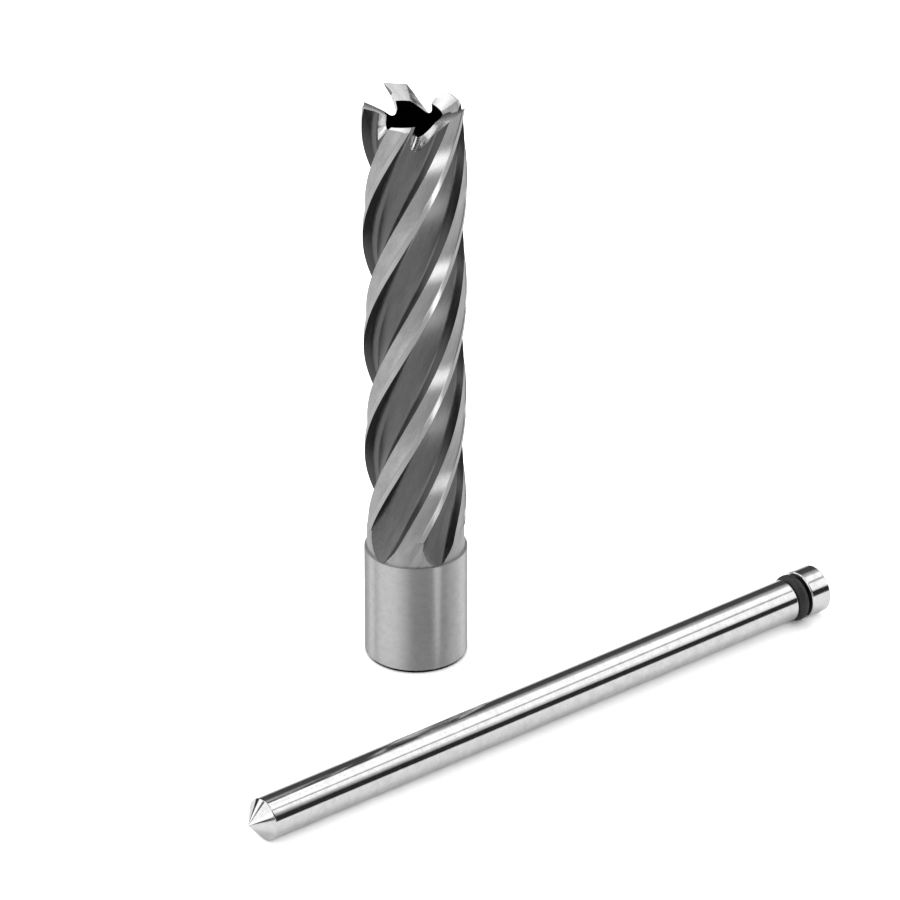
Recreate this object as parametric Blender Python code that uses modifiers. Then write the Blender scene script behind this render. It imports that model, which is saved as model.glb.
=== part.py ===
"""Annular cutter with its pilot pin and the pin's rubber ring.

The cutter stands on its shank end with the teeth up, and the pilot pin, drawn
out of the shank, lies on the same surface in front of it. Metres, +Z up.
The origin is on that surface, at the middle of the whole set's footprint.
"""
import math

import bmesh
import bpy
from mathutils import Matrix, Vector

MM = 0.001
FULL_TURN = 2 * math.pi

# Shank: plain cylinder that the arbor grips, with two flats for its side screws
SHANK_DIAMETER = 19.05 * MM
SHANK_LENGTH = 22.0 * MM
SHANK_CHAMFER = 0.35 * MM
FLAT_DEPTH = 1.3 * MM
FLAT_LENGTH = 12.0 * MM
FLAT_DIRECTIONS = (math.radians(45), math.radians(135))

# Body: fluted tube above the shank, a little thinner towards the neck
OVERALL_LENGTH = 112.5 * MM
CUT_DIAMETER = 19.0 * MM
BODY_BACK_TAPER = 0.45 * MM
NECK_LENGTH = 5.4 * MM
NECK_UNDERCUT = 0.2 * MM
NECK_SHOULDER = 0.3 * MM

# Bores: the wide one takes the slug, the narrow one guides the pilot pin
SLUG_BORE_DIAMETER = 10.6 * MM
SLUG_BORE_DEPTH = 81.5 * MM
BORE_SHOULDER = 1.2 * MM
PILOT_CLEARANCE = 0.12 * MM
PILOT_MOUTH_CHAMFER = 0.5 * MM

# Flutes: right-hand helices between the lands
FLUTE_COUNT = 5
FLUTE_LEAD = 109.7 * MM
FIRST_TOOTH_ANGLE = math.radians(-17.8)
LAND_WIDTH = 4.2 * MM
MARGIN_WIDTH = 1.0 * MM
LAND_CLEARANCE = 0.32 * MM
MARGIN_STEP_WIDTH = 0.12 * MM
WEB_THICKNESS = 1.35 * MM
FLOOR_TURN = math.radians(12)
FLOOR_FILLET = 1.1 * MM
HEEL_WALL_WIDTH = 0.55 * MM
HEEL_CORNER = 0.3 * MM
GRINDING_WHEEL_RADIUS = 25.0 * MM
RUNOUT_SLANT = 1.1

# Teeth: the crest is at the outer corner, and the top falls in to the bore
TOP_BEVEL = math.radians(25)
PRIMARY_RELIEF = math.radians(8.5)
PRIMARY_LENGTH = 3.0 * MM
SECONDARY_RELIEF = math.radians(34)
GULLET_RADIUS = 1.8 * MM
GULLET_LEAD = 0.85 * MM
GULLET_FALL = math.radians(58)
GULLET_OVERRUN = 0.3 * MM

# Low teeth: they follow the others, and their crest is set in from the outside
LOW_TEETH = (1, 4)
LOW_TOOTH_DROP = 0.63 * MM
LOW_CREST_INSET = 1.0 * MM
LOW_OUTER_BEVEL = math.radians(47)

# Pilot pin: hardened rod with a cone point, a ring groove and a head
PIN_DIAMETER = 7.98 * MM
PIN_LENGTH = 134.0 * MM
PIN_POINT_LENGTH = 3.3 * MM
PIN_POINT_FLAT = 0.12 * MM
PIN_EDGE_CHAMFER = 0.15 * MM
HEAD_RIM = 0.56 * MM
HEAD_LENGTH = 4.6 * MM
HEAD_CHAMFER = 0.35 * MM

# Rubber ring in the groove under the head
RING_CORD = 2.4 * MM
RING_INSET = 0.06 * MM
RING_CLEARANCE = 0.3 * MM

# Where the pin lies: its point seen from the cutter's axis, and its heading
PIN_POINT_PLACE = (-29.8 * MM, -69.5 * MM)
PIN_HEADING = math.radians(38.6)

# How finely round things are cut
TURNED_STEPS = 80
PIN_STEPS = 48
RING_CORD_STEPS = 14
OVERCUT = 1.5 * MM
FLUTE_RING_SPACING = 2.3 * MM
RUNOUT_RING_SPACING = 1.1 * MM
CROWN_TOP_SPREAD = 0.3

# Sizes that follow from the ones above
SHANK_RADIUS = SHANK_DIAMETER / 2
CUT_RADIUS = CUT_DIAMETER / 2
SLUG_BORE_RADIUS = SLUG_BORE_DIAMETER / 2
PIN_RADIUS = PIN_DIAMETER / 2
PILOT_BORE_RADIUS = PIN_RADIUS + PILOT_CLEARANCE / 2
NECK_TOP = SHANK_LENGTH + NECK_LENGTH
BODY_BASE_RADIUS = CUT_RADIUS - BODY_BACK_TAPER / 2
NECK_RADIUS = BODY_BASE_RADIUS - NECK_UNDERCUT
FLOOR_DISTANCE = SLUG_BORE_RADIUS + WEB_THICKNESS
WALL_MIDDLE_RADIUS = (CUT_RADIUS + SLUG_BORE_RADIUS) / 2
TOOTH_PITCH = FULL_TURN / FLUTE_COUNT
HEAD_RADIUS = PIN_RADIUS + HEAD_RIM
RING_OUTER_RADIUS = HEAD_RADIUS - RING_INSET
RING_INNER_RADIUS = RING_OUTER_RADIUS - RING_CORD
GROOVE_RADIUS = RING_INNER_RADIUS - RING_CLEARANCE
GROOVE_LENGTH = RING_CORD + 2 * RING_CLEARANCE
HEAD_START = PIN_LENGTH - HEAD_LENGTH
GROOVE_START = HEAD_START - GROOVE_LENGTH


def clear_scene():
    for old in list(bpy.data.objects):
        bpy.data.objects.remove(old, do_unlink=True)


def new_collection(name):
    collection = bpy.data.collections.new(name)
    bpy.context.scene.collection.children.link(collection)
    return collection


def new_material(name, colour, roughness, metallic):
    material = bpy.data.materials.new(name)
    material.use_nodes = True
    shader = material.node_tree.nodes["Principled BSDF"]
    shader.inputs["Base Color"].default_value = (*colour, 1.0)
    shader.inputs["Roughness"].default_value = roughness
    shader.inputs["Metallic"].default_value = metallic
    return material


def new_object(name, mesh, collection, material=None):
    item = bpy.data.objects.new(name, mesh)
    collection.objects.link(item)
    if material:
        mesh.materials.append(material)
    return item


def polar(radius, angle, height=0.0):
    return Vector((radius * math.cos(angle), radius * math.sin(angle), height))


def turned(name, profile, steps, collection, material, closed=True):
    """Turn an outline of (radius, height) points about +Z.

    A closed outline runs down the outer side and comes back up the inner side.
    An open one has its two ends on the axis.
    """
    mesh = bpy.data.meshes.new(name)
    points = [(radius, 0.0, height) for radius, height in profile]
    edges = [(i, i + 1) for i in range(len(points) - 1)]
    if closed:
        edges.append((len(points) - 1, 0))
    mesh.from_pydata(points, edges, [])
    item = new_object(name, mesh, collection, material)
    screw = item.modifiers.new("turn", "SCREW")
    screw.axis = "Z"
    screw.angle = FULL_TURN
    screw.steps = steps
    screw.render_steps = steps
    screw.use_merge_vertices = True
    screw.merge_threshold = 0.00001
    screw.use_smooth_shade = True
    return item


def lofted_solid(name, rings, collection, closed=False):
    """Join a row of like rings into one solid, capped at its ends or closed on itself."""
    shape = bmesh.new()
    rows = [[shape.verts.new(point) for point in ring] for ring in rings]
    pairs = list(zip(rows, rows[1:]))
    if closed:
        pairs.append((rows[-1], rows[0]))
    for low, high in pairs:
        for i in range(len(low)):
            j = (i + 1) % len(low)
            shape.faces.new((low[i], low[j], high[j], high[i]))
    if not closed:
        caps = [shape.faces.new(rows[0]), shape.faces.new(rows[-1])]
        bmesh.ops.triangulate(shape, faces=caps)
    bmesh.ops.recalc_face_normals(shape, faces=shape.faces)
    mesh = bpy.data.meshes.new(name)
    shape.to_mesh(mesh)
    shape.free()
    item = new_object(name, mesh, collection)
    item.display_type = "WIRE"
    item.hide_render = True
    return item


def spread_round(item, count):
    """Repeat a cutter's mesh about +Z, as separate shells of one object."""
    shape = bmesh.new()
    for turn in range(count):
        shape.from_mesh(item.data)
        fresh = shape.verts[-len(item.data.vertices):]
        spin = Matrix.Rotation(turn * FULL_TURN / count, 4, "Z")
        bmesh.ops.transform(shape, matrix=spin, verts=fresh)
        shape.verts.ensure_lookup_table()
    shape.to_mesh(item.data)
    shape.free()


def cut(body, cutter, name):
    boolean = body.modifiers.new(name, "BOOLEAN")
    boolean.operation = "DIFFERENCE"
    boolean.solver = "EXACT"
    boolean.object = cutter


def body_radius(height):
    """Radius of the body's ground outside, which tapers back from the teeth."""
    share = (height - NECK_TOP) / (OVERALL_LENGTH - NECK_TOP)
    return BODY_BASE_RADIUS + (CUT_RADIUS - BODY_BASE_RADIUS) * max(share, 0.0)


def helix_turn(height):
    """How far the flutes have turned at a height, counted from the tooth crests."""
    return FULL_TURN * (height - OVERALL_LENGTH) / FLUTE_LEAD


def land_angle():
    return LAND_WIDTH / CUT_RADIUS


def heel_angle():
    """Angle from a land's cutting edge, across the flute, to the next land's heel."""
    return TOOTH_PITCH - land_angle()


def floor_corner_angle():
    """Angle at which the flute's floor meets the wall under the next heel."""
    return heel_angle() - HEEL_WALL_WIDTH / CUT_RADIUS


def floor_radius(angle):
    """Distance of the flat floor from the axis, at an angle from the cutting edge."""
    return FLOOR_DISTANCE / math.cos(angle - FLOOR_TURN)


def floor_fillet_points(count):
    """Points of the round between the rake wall and the floor, in the section."""
    reach = FLOOR_DISTANCE + FLOOR_FILLET * (1 - math.sin(FLOOR_TURN))
    centre = Vector((reach / math.cos(FLOOR_TURN), FLOOR_FILLET))
    first = -math.pi / 2
    last = FLOOR_TURN - math.pi
    points = []
    for i in range(count):
        angle = first + (last - first) * i / (count - 1)
        points.append(centre + FLOOR_FILLET * Vector((math.cos(angle), math.sin(angle))))
    return points


def flute_section(height):
    """One pitch of the flute cutter as (radius, angle) pairs, at a height.

    Angle 0 is the cutting edge. The section runs down the rake wall, over the
    floor, up the heel wall, along the land's cleared back and out past the
    margin, then home outside the body.
    """
    outside = CUT_RADIUS + OVERCUT
    land_top = body_radius(height) - LAND_CLEARANCE
    corner = floor_corner_angle()
    corner_radius = floor_radius(corner)
    margin_back = TOOTH_PITCH - MARGIN_WIDTH / CUT_RADIUS
    section = [(outside, 0.0)]
    for point in floor_fillet_points(4):
        section.append((point.length, math.atan2(point.y, point.x)))
    section.append((floor_radius(corner / 2), corner / 2))
    before_corner = corner - HEEL_CORNER / corner_radius
    section.append((floor_radius(before_corner), before_corner))
    wall_share = HEEL_CORNER / (land_top - corner_radius)
    wall_angle = corner + (heel_angle() - corner) * wall_share
    section.append((corner_radius + HEEL_CORNER, wall_angle))
    section.append((land_top, heel_angle()))
    section.append((land_top, margin_back - MARGIN_STEP_WIDTH / CUT_RADIUS))
    section.append((outside, margin_back))
    for share in (0.75, 0.5, 0.25):
        section.append((outside, margin_back * share))
    return section


def runout_lift(angle, height):
    """How far the grinding wheel has climbed out of the flute, near the shank.

    The wheel leaves along its own arc, the rake side first, and the floor's
    corner reaches the neck's surface at the shank's shoulder.
    """
    corner = floor_corner_angle()
    climb = math.sqrt(2 * GRINDING_WHEEL_RADIUS * (NECK_RADIUS - floor_radius(corner)))
    start = SHANK_LENGTH + climb + RUNOUT_SLANT * NECK_RADIUS * (corner - angle)
    travel = max(start - height, 0.0)
    return travel * travel / (2 * GRINDING_WHEEL_RADIUS)


def flute_ring_heights():
    low = SHANK_LENGTH - 2 * OVERCUT
    fine_top = NECK_TOP + 2 * NECK_LENGTH
    top = OVERALL_LENGTH + 2 * OVERCUT
    fine_count = math.ceil((fine_top - low) / RUNOUT_RING_SPACING)
    coarse_count = math.ceil((top - fine_top) / FLUTE_RING_SPACING)
    heights = [low + (fine_top - low) * i / fine_count for i in range(fine_count)]
    heights += [fine_top + (top - fine_top) * i / coarse_count for i in range(coarse_count + 1)]
    return heights


def make_flute_cutter(collection):
    rings = []
    for height in flute_ring_heights():
        turn = FIRST_TOOTH_ANGLE + helix_turn(height)
        ring = []
        for radius, angle in flute_section(height):
            lifted = radius + runout_lift(angle, height)
            ring.append(polar(lifted, turn + angle, height))
        rings.append(ring)
    cutter = lofted_solid("flute_cutter", rings, collection)
    spread_round(cutter, FLUTE_COUNT)
    return cutter


def primary_fall():
    """How far the primary relief falls from the gullet's wall to its own end."""
    return (PRIMARY_LENGTH + GULLET_LEAD) * math.tan(PRIMARY_RELIEF)


def tooth_gap_outline():
    """One pitch of the toothed end as (angle, fall) pairs, from gullet to gullet.

    It runs down the gullet's wall, round its bottom, up the secondary relief
    and along the primary relief past the crest. The slopes are true at the
    middle of the tube's wall, and falls are counted from the wall's top.
    """
    pitch_length = TOOTH_PITCH * WALL_MIDDLE_RADIUS
    primary_length = PRIMARY_LENGTH + GULLET_LEAD
    primary_start = pitch_length - primary_length
    slope = math.tan(SECONDARY_RELIEF)
    round_end = GULLET_RADIUS * (1 + math.sin(SECONDARY_RELIEF))
    round_fall = primary_fall() + slope * (primary_start - round_end)
    wall_end = round_fall - GULLET_RADIUS * math.cos(SECONDARY_RELIEF)
    points = [(0.0, wall_end * share) for share in (0.0, 0.33, 0.66, 1.0)]
    for step in (1, 2, 3, 4):
        angle = math.pi - step * (math.pi / 2 + SECONDARY_RELIEF) / 4
        across = GULLET_RADIUS * (1 + math.cos(angle))
        points.append((across, wall_end + GULLET_RADIUS * math.sin(angle)))
    half_way = (round_end + primary_start) / 2
    points.append((half_way, (round_fall + primary_fall()) / 2))
    points.append((primary_start, primary_fall()))
    points.append((pitch_length - primary_length / 2, primary_fall() / 2))
    return [(across / WALL_MIDDLE_RADIUS, fall) for across, fall in points]


def low_tooth_drop(radius):
    """How much lower a low tooth's top is at a radius than the other teeth's."""
    past_crest = max(radius - (CUT_RADIUS - LOW_CREST_INSET), 0.0)
    return LOW_TOOTH_DROP + past_crest * math.tan(LOW_OUTER_BEVEL)


def crown_height(radius, fall, deepest, tooth):
    """Height of the toothed end at a radius, on or beside a tooth.

    On the primary relief the surface falls in to the bore by the top bevel.
    Towards the gullets it falls outward more and more, to the flute's floor.
    """
    bevel = (CUT_RADIUS - radius) * math.tan(TOP_BEVEL)
    inner_bevel = (CUT_RADIUS - SLUG_BORE_RADIUS) * math.tan(TOP_BEVEL)
    past_bore = min(max(radius - SLUG_BORE_RADIUS, 0.0), WEB_THICKNESS + GULLET_OVERRUN)
    gullet_drop = inner_bevel + past_bore * math.tan(GULLET_FALL)
    share = max(fall - primary_fall(), 0.0) / (deepest - primary_fall())
    lead_at_middle = GULLET_LEAD * WALL_MIDDLE_RADIUS / CUT_RADIUS
    wall_top = OVERALL_LENGTH + lead_at_middle * math.tan(PRIMARY_RELIEF)
    if tooth % FLUTE_COUNT in LOW_TEETH:
        bevel += low_tooth_drop(radius)
    return wall_top - fall - (1 - share) * bevel - share * gullet_drop


def make_crown_cutter(collection):
    """Everything above the teeth, as one ring lofted round the axis.

    The gullets' walls lie a little ahead of the flutes' rake walls, so that
    the round between rake wall and floor runs up to the tooth's top.
    """
    inside = SLUG_BORE_RADIUS - OVERCUT
    outside = CUT_RADIUS + OVERCUT
    gullet_end = SLUG_BORE_RADIUS + WEB_THICKNESS + GULLET_OVERRUN
    crest = CUT_RADIUS - LOW_CREST_INSET
    radii = [inside, SLUG_BORE_RADIUS, gullet_end, (gullet_end + crest) / 2, crest, outside]
    outline = tooth_gap_outline()
    deepest = max(fall for angle, fall in outline)
    top = OVERALL_LENGTH + OVERCUT
    rings = []
    for tooth in range(FLUTE_COUNT):
        start = FIRST_TOOTH_ANGLE + tooth * TOOTH_PITCH
        for place, (angle, fall) in enumerate(outline):
            nearest = tooth if angle == 0.0 else tooth + 1
            ring = []
            for radius in radii:
                height = crown_height(radius, fall, deepest, nearest)
                lead = GULLET_LEAD / max(radius, SLUG_BORE_RADIUS)
                ring.append(polar(radius, start + lead + angle + helix_turn(height), height))
            even_angle = TOOTH_PITCH * place / len(outline)
            top_angle = angle + (even_angle - angle) * CROWN_TOP_SPREAD
            for radius, share in ((outside, 0.5), (outside, 1.0), (inside, 1.0), (inside, 0.5)):
                low = crown_height(radius, fall, deepest, nearest)
                height = low + (top - low) * share
                lead = GULLET_LEAD / max(radius, SLUG_BORE_RADIUS)
                side_angle = lead + angle + (top_angle - angle) * share
                ring.append(polar(radius, start + side_angle + helix_turn(height), height))
            rings.append(ring)
    return lofted_solid("crown_cutter", rings, collection, closed=True)


def make_flat_cutter(index, direction, collection):
    """A block that leaves one drive flat, at the middle of the shank's length."""
    flat_distance = SHANK_RADIUS - FLAT_DEPTH
    bpy.ops.mesh.primitive_cube_add(size=1.0)
    cutter = bpy.context.active_object
    cutter.name = "flat_cutter_" + str(index)
    size = Vector((2 * FLAT_DEPTH, SHANK_DIAMETER, FLAT_LENGTH))
    cutter.data.transform(Matrix.Diagonal((*size, 1.0)))
    cutter.location = polar(flat_distance + FLAT_DEPTH, direction, SHANK_LENGTH / 2)
    cutter.rotation_euler = (0.0, 0.0, direction)
    cutter.display_type = "WIRE"
    cutter.hide_render = True
    for home in list(cutter.users_collection):
        home.objects.unlink(cutter)
    collection.objects.link(cutter)
    return cutter


def cutter_blank_profile():
    """The turned blank: outer side from the teeth down, then the bores back up."""
    top = OVERALL_LENGTH + OVERCUT / 2
    bore_floor = OVERALL_LENGTH - SLUG_BORE_DEPTH
    return [
        (CUT_RADIUS, top),
        (CUT_RADIUS, OVERALL_LENGTH),
        (BODY_BASE_RADIUS, NECK_TOP),
        (NECK_RADIUS, NECK_TOP - NECK_SHOULDER),
        (NECK_RADIUS, SHANK_LENGTH),
        (SHANK_RADIUS, SHANK_LENGTH),
        (SHANK_RADIUS, SHANK_CHAMFER),
        (SHANK_RADIUS - SHANK_CHAMFER, 0.0),
        (PILOT_BORE_RADIUS + PILOT_MOUTH_CHAMFER, 0.0),
        (PILOT_BORE_RADIUS, PILOT_MOUTH_CHAMFER),
        (PILOT_BORE_RADIUS, bore_floor),
        (SLUG_BORE_RADIUS, bore_floor + BORE_SHOULDER),
        (SLUG_BORE_RADIUS, top),
    ]


def make_cutter_body(parts, cutters, material):
    body = turned("cutter_body", cutter_blank_profile(), TURNED_STEPS, parts, material)
    cut(body, make_crown_cutter(cutters), "teeth")
    cut(body, make_flute_cutter(cutters), "flutes")
    for index, direction in enumerate(FLAT_DIRECTIONS):
        cut(body, make_flat_cutter(index, direction, cutters), "flat_" + str(index))
    return body


def pin_profile():
    """The pin's outline, from the head's end down to the point; +Z is towards the head."""
    shaft_start = PIN_POINT_LENGTH
    return [
        (0.0, PIN_LENGTH),
        (HEAD_RADIUS - HEAD_CHAMFER, PIN_LENGTH),
        (HEAD_RADIUS, PIN_LENGTH - HEAD_CHAMFER),
        (HEAD_RADIUS, HEAD_START + PIN_EDGE_CHAMFER),
        (HEAD_RADIUS - PIN_EDGE_CHAMFER, HEAD_START),
        (GROOVE_RADIUS, HEAD_START),
        (GROOVE_RADIUS, GROOVE_START),
        (PIN_RADIUS - PIN_EDGE_CHAMFER, GROOVE_START),
        (PIN_RADIUS, GROOVE_START - PIN_EDGE_CHAMFER),
        (PIN_RADIUS, shaft_start),
        (PIN_POINT_FLAT, 0.0),
        (0.0, 0.0),
    ]


def make_ring(parts, material):
    """The rubber ring, a round cord bent into a circle, at the groove's middle."""
    bpy.ops.mesh.primitive_torus_add(
        major_segments=PIN_STEPS,
        minor_segments=RING_CORD_STEPS,
        major_radius=RING_OUTER_RADIUS - RING_CORD / 2,
        minor_radius=RING_CORD / 2,
    )
    ring = bpy.context.active_object
    ring.name = "rubber_ring"
    ring.data.materials.append(material)
    ring.data.shade_smooth()
    for home in list(ring.users_collection):
        home.objects.unlink(ring)
    parts.objects.link(ring)
    return ring


def lay_pin(pin, ring, stand):
    """Lay the pin on the surface: it rests on its head and on the shaft's front edge."""
    front_rest = PIN_POINT_LENGTH
    head_rest = HEAD_START + PIN_EDGE_CHAMFER
    tilt = math.atan2(HEAD_RADIUS - PIN_RADIUS, head_rest - front_rest)
    point_height = PIN_RADIUS * math.cos(tilt) - front_rest * math.sin(tilt)
    rest = bpy.data.objects.new("pin_rest", None)
    stand.users_collection[0].objects.link(rest)
    rest.parent = stand
    rest.location = (*PIN_POINT_PLACE, point_height)
    rest.rotation_euler = (0.0, math.pi / 2 - tilt, PIN_HEADING)
    pin.parent = rest
    ring.parent = rest
    ring.location = (0.0, 0.0, GROOVE_START + GROOVE_LENGTH / 2)


def centre_footprint(stand, items):
    """Slide the whole set so that the middle of its footprint is at the origin."""
    bpy.context.view_layer.update()
    depsgraph = bpy.context.evaluated_depsgraph_get()
    corners = []
    for item in items:
        shown = item.evaluated_get(depsgraph)
        corners += [shown.matrix_world @ vert.co for vert in shown.data.vertices]
    for axis in (0, 1):
        values = [corner[axis] for corner in corners]
        stand.location[axis] -= (min(values) + max(values)) / 2


def main():
    clear_scene()
    parts = new_collection("annular_cutter")
    cutters = new_collection("cutters")
    ground_steel = new_material("ground_tool_steel", (0.42, 0.42, 0.43), 0.32, 1.0)
    polished_steel = new_material("polished_pin_steel", (0.55, 0.55, 0.56), 0.16, 1.0)
    rubber = new_material("black_rubber", (0.02, 0.02, 0.02), 0.55, 0.0)

    stand = bpy.data.objects.new("cutter_stand", None)
    parts.objects.link(stand)
    body = make_cutter_body(parts, cutters, ground_steel)
    body.parent = stand
    pin = turned("pilot_pin", pin_profile(), PIN_STEPS, parts, polished_steel, closed=False)
    ring = make_ring(parts, rubber)
    lay_pin(pin, ring, stand)
    centre_footprint(stand, (body, pin, ring))
    for cutter in cutters.objects:
        cutter.parent = stand


main()
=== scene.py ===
# %% [markdown]
# # An annular cutter and its pilot pin
# An annular cutter is a tube of tool steel with teeth on one end. It cuts only a
# ring and leaves the core whole. The one here stands on its shank, and the pin that
# centres it and pushes the core out lies in front of it.
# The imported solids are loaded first. They fix the place and the size of everything,
# and each piece made below stands for one of them.

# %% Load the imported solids
import math

import bpy
from mathutils import Matrix, Vector


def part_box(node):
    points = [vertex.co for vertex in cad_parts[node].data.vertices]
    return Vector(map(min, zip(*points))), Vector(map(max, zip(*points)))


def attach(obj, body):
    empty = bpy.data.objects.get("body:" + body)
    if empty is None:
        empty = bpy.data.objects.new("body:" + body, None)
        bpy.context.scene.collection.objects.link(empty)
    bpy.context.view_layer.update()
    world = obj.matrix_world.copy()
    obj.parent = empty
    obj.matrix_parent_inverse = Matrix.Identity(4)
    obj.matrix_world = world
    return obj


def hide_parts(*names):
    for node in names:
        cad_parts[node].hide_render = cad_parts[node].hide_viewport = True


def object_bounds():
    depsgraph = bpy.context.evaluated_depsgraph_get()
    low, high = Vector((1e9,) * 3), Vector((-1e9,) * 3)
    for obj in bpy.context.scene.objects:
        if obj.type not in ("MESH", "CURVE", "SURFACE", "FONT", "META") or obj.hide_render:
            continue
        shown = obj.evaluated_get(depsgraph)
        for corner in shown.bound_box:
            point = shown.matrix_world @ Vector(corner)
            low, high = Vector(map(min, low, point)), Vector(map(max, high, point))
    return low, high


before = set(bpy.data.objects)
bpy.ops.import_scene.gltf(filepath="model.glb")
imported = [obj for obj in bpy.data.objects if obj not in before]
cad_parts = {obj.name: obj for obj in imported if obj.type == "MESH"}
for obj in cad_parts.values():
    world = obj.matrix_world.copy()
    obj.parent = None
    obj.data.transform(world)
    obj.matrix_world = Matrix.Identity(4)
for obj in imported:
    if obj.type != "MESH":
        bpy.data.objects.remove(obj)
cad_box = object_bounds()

MM = 0.001
FULL_TURN = 2 * math.pi
BODY = "root"
cad_corners = [tuple(round(v, 4) for v in corner) for corner in cad_box]
print("solids:", sorted(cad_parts), "box:", cad_corners)

# %% [markdown]
# ## Where the eye is
# The set is seen from far away through a long lens, so the cutter's sides stay
# almost parallel. The camera is aimed from the foot of the cutter's axis, which is
# the middle of its solid's box.

# %% Camera
low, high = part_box("cutter_body")
AXIS_FOOT = Vector(((low.x + high.x) / 2, (low.y + high.y) / 2, 0.0))
EYE_DISTANCE = 1.3
EYE_ELEVATION = math.radians(30.062)
AIM_RIGHT = math.radians(0.322)
AIM_UP = math.radians(1.62)
ROLL = math.radians(-0.052)
SENSOR = 36.0
LENS = 279.56
CLIP_END = 100.0


def place_camera():
    """Stand the camera in front of the cutter and aim it."""
    eye = AXIS_FOOT + EYE_DISTANCE * Vector((0.0, -math.cos(EYE_ELEVATION), math.sin(EYE_ELEVATION)))
    down = EYE_ELEVATION - AIM_UP
    level_part = math.cos(down)
    ahead = Vector((math.sin(AIM_RIGHT) * level_part, math.cos(AIM_RIGHT) * level_part, -math.sin(down)))
    level = ahead.cross(Vector((0.0, 0.0, 1.0))).normalized()
    above = level.cross(ahead)
    right = math.cos(ROLL) * level + math.sin(ROLL) * above
    up = math.cos(ROLL) * above - math.sin(ROLL) * level
    lens = bpy.data.cameras.new("long_lens")
    lens.sensor_width = SENSOR
    lens.lens = LENS
    lens.clip_end = CLIP_END
    camera = bpy.data.objects.new("camera", lens)
    bpy.context.scene.collection.objects.link(camera)
    camera.matrix_world = Matrix.Translation(eye) @ Matrix((right, up, -ahead)).transposed().to_4x4()
    bpy.context.scene.camera = camera
    print("camera at", [round(v, 3) for v in eye])


place_camera()

# %% [markdown]
# ## Small helpers
# One function turns a written colour into the numbers that a shader wants, and one
# adds a node with its settings and links. Everything below uses them.

# %% Colour and node helpers


def linear(code):
    """An sRGB colour written as six hex digits, as linear red, green, blue and alpha."""
    values = [int(code[i:i + 2], 16) / 255 for i in (0, 2, 4)]
    return (*[v / 12.92 if v <= 0.04045 else ((v + 0.055) / 1.055) ** 2.4 for v in values], 1.0)


def add(tree, kind, inputs=None, **settings):
    """Add a node. Inputs go by name or number, and are values or other nodes' sockets."""
    made = tree.nodes.new(kind)
    for key, value in settings.items():
        setattr(made, key, value)
    for key, value in (inputs or {}).items():
        if isinstance(value, bpy.types.NodeSocket):
            tree.links.new(value, made.inputs[key])
        else:
            made.inputs[key].default_value = value
    return made


def calc(tree, operation, first, second=0.0):
    """One sum on two numbers or sockets, as a socket."""
    return add(tree, "ShaderNodeMath", {0: first, 1: second}, operation=operation).outputs[0]


# %% [markdown]
# ## The sizes of the cutter
# The shank is a standard three-quarter inch, and everything else follows from it.
# The sizes are those of the solids, written in metres. Only the chamfer at the foot
# of the shank is drawn taller than it is, so that its painted contact shadow shows.

# %% Sizes of the cutter
SHANK_RADIUS = 9.525 * MM
SHANK_LENGTH = 22.0 * MM
SHANK_CHAMFER = 0.35 * MM
CHAMFER_RISE = 0.6 * MM
FLAT_DISTANCE = SHANK_RADIUS - 1.3 * MM
FLAT_LENGTH = 12.0 * MM
FLAT_DIRECTIONS = (math.radians(45), math.radians(135))
LENGTH = 112.5 * MM
CUT_RADIUS = 9.5 * MM
BASE_RADIUS = CUT_RADIUS - 0.225 * MM
NECK_RADIUS = BASE_RADIUS - 0.2 * MM
NECK_TOP = SHANK_LENGTH + 5.4 * MM
NECK_SHOULDER = 0.3 * MM
BORE_RADIUS = 5.3 * MM
BORE_FLOOR = LENGTH - 81.5 * MM
BORE_SHOULDER = 1.2 * MM
PILOT_RADIUS = 4.05 * MM
PILOT_MOUTH = 0.5 * MM
FLUTES = 5
PITCH = FULL_TURN / FLUTES
LEAD = 109.7 * MM
FIRST_TOOTH = math.radians(-17.8)
print("shank", 2000 * SHANK_RADIUS, "mm, cut", 2000 * CUT_RADIUS, "mm, long", 1000 * LENGTH, "mm")

# %% [markdown]
# ## One flute, cut across
# A flute has a straight cutting wall on a radius, a round at its foot, a flat floor
# and a short steep wall under the heel of the next land. The land behind it is
# ground back, so that only a narrow margin at the cutting edge rubs in the hole. It
# is ground straight across and falls towards the heel, so a bright light shows on it
# as a slanted patch. The wall under the heel is drawn wider than in the solid, so
# that it shows.

# %% The outline of one flute
LAND_WIDTH = 4.2 * MM
MARGIN_WIDTH = 1.0 * MM
MARGIN_STEP = 0.1 * MM
LAND_RADIUS = CUT_RADIUS - 0.32 * MM
LAND_TILT = 0.17 * MM
FLOOR_DISTANCE = BORE_RADIUS + 1.35 * MM
FLOOR_TURN = math.radians(12)
FLOOR_FILLET = 1.1 * MM
HEEL_WALL_WIDTH = 0.95 * MM
HEEL_CORNER = 0.14 * MM
HEEL_ANGLE = PITCH - LAND_WIDTH / CUT_RADIUS
CORNER_ANGLE = HEEL_ANGLE - HEEL_WALL_WIDTH / CUT_RADIUS
MARGIN_BACK = PITCH - (MARGIN_WIDTH + MARGIN_STEP) / CUT_RADIUS
FILLET_PARTS = 9
PAST_EDGE = 0.001


def floor_radius(angle):
    """Distance of the flat floor from the axis, at an angle ahead of the cutting edge."""
    return FLOOR_DISTANCE / math.cos(angle - FLOOR_TURN)


def fillet_points():
    """The round between cutting wall and floor, as angles and radii."""
    reach = FLOOR_DISTANCE + FLOOR_FILLET * (1 - math.sin(FLOOR_TURN))
    centre = Vector((reach / math.cos(FLOOR_TURN), FLOOR_FILLET))
    points = []
    for part in range(FILLET_PARTS + 1):
        angle = -math.pi / 2 + (FLOOR_TURN - math.pi / 2) * part / FILLET_PARTS
        point = centre + FLOOR_FILLET * Vector((math.cos(angle), math.sin(angle)))
        points.append((math.atan2(point.y, point.x), point.length))
    return points


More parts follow.
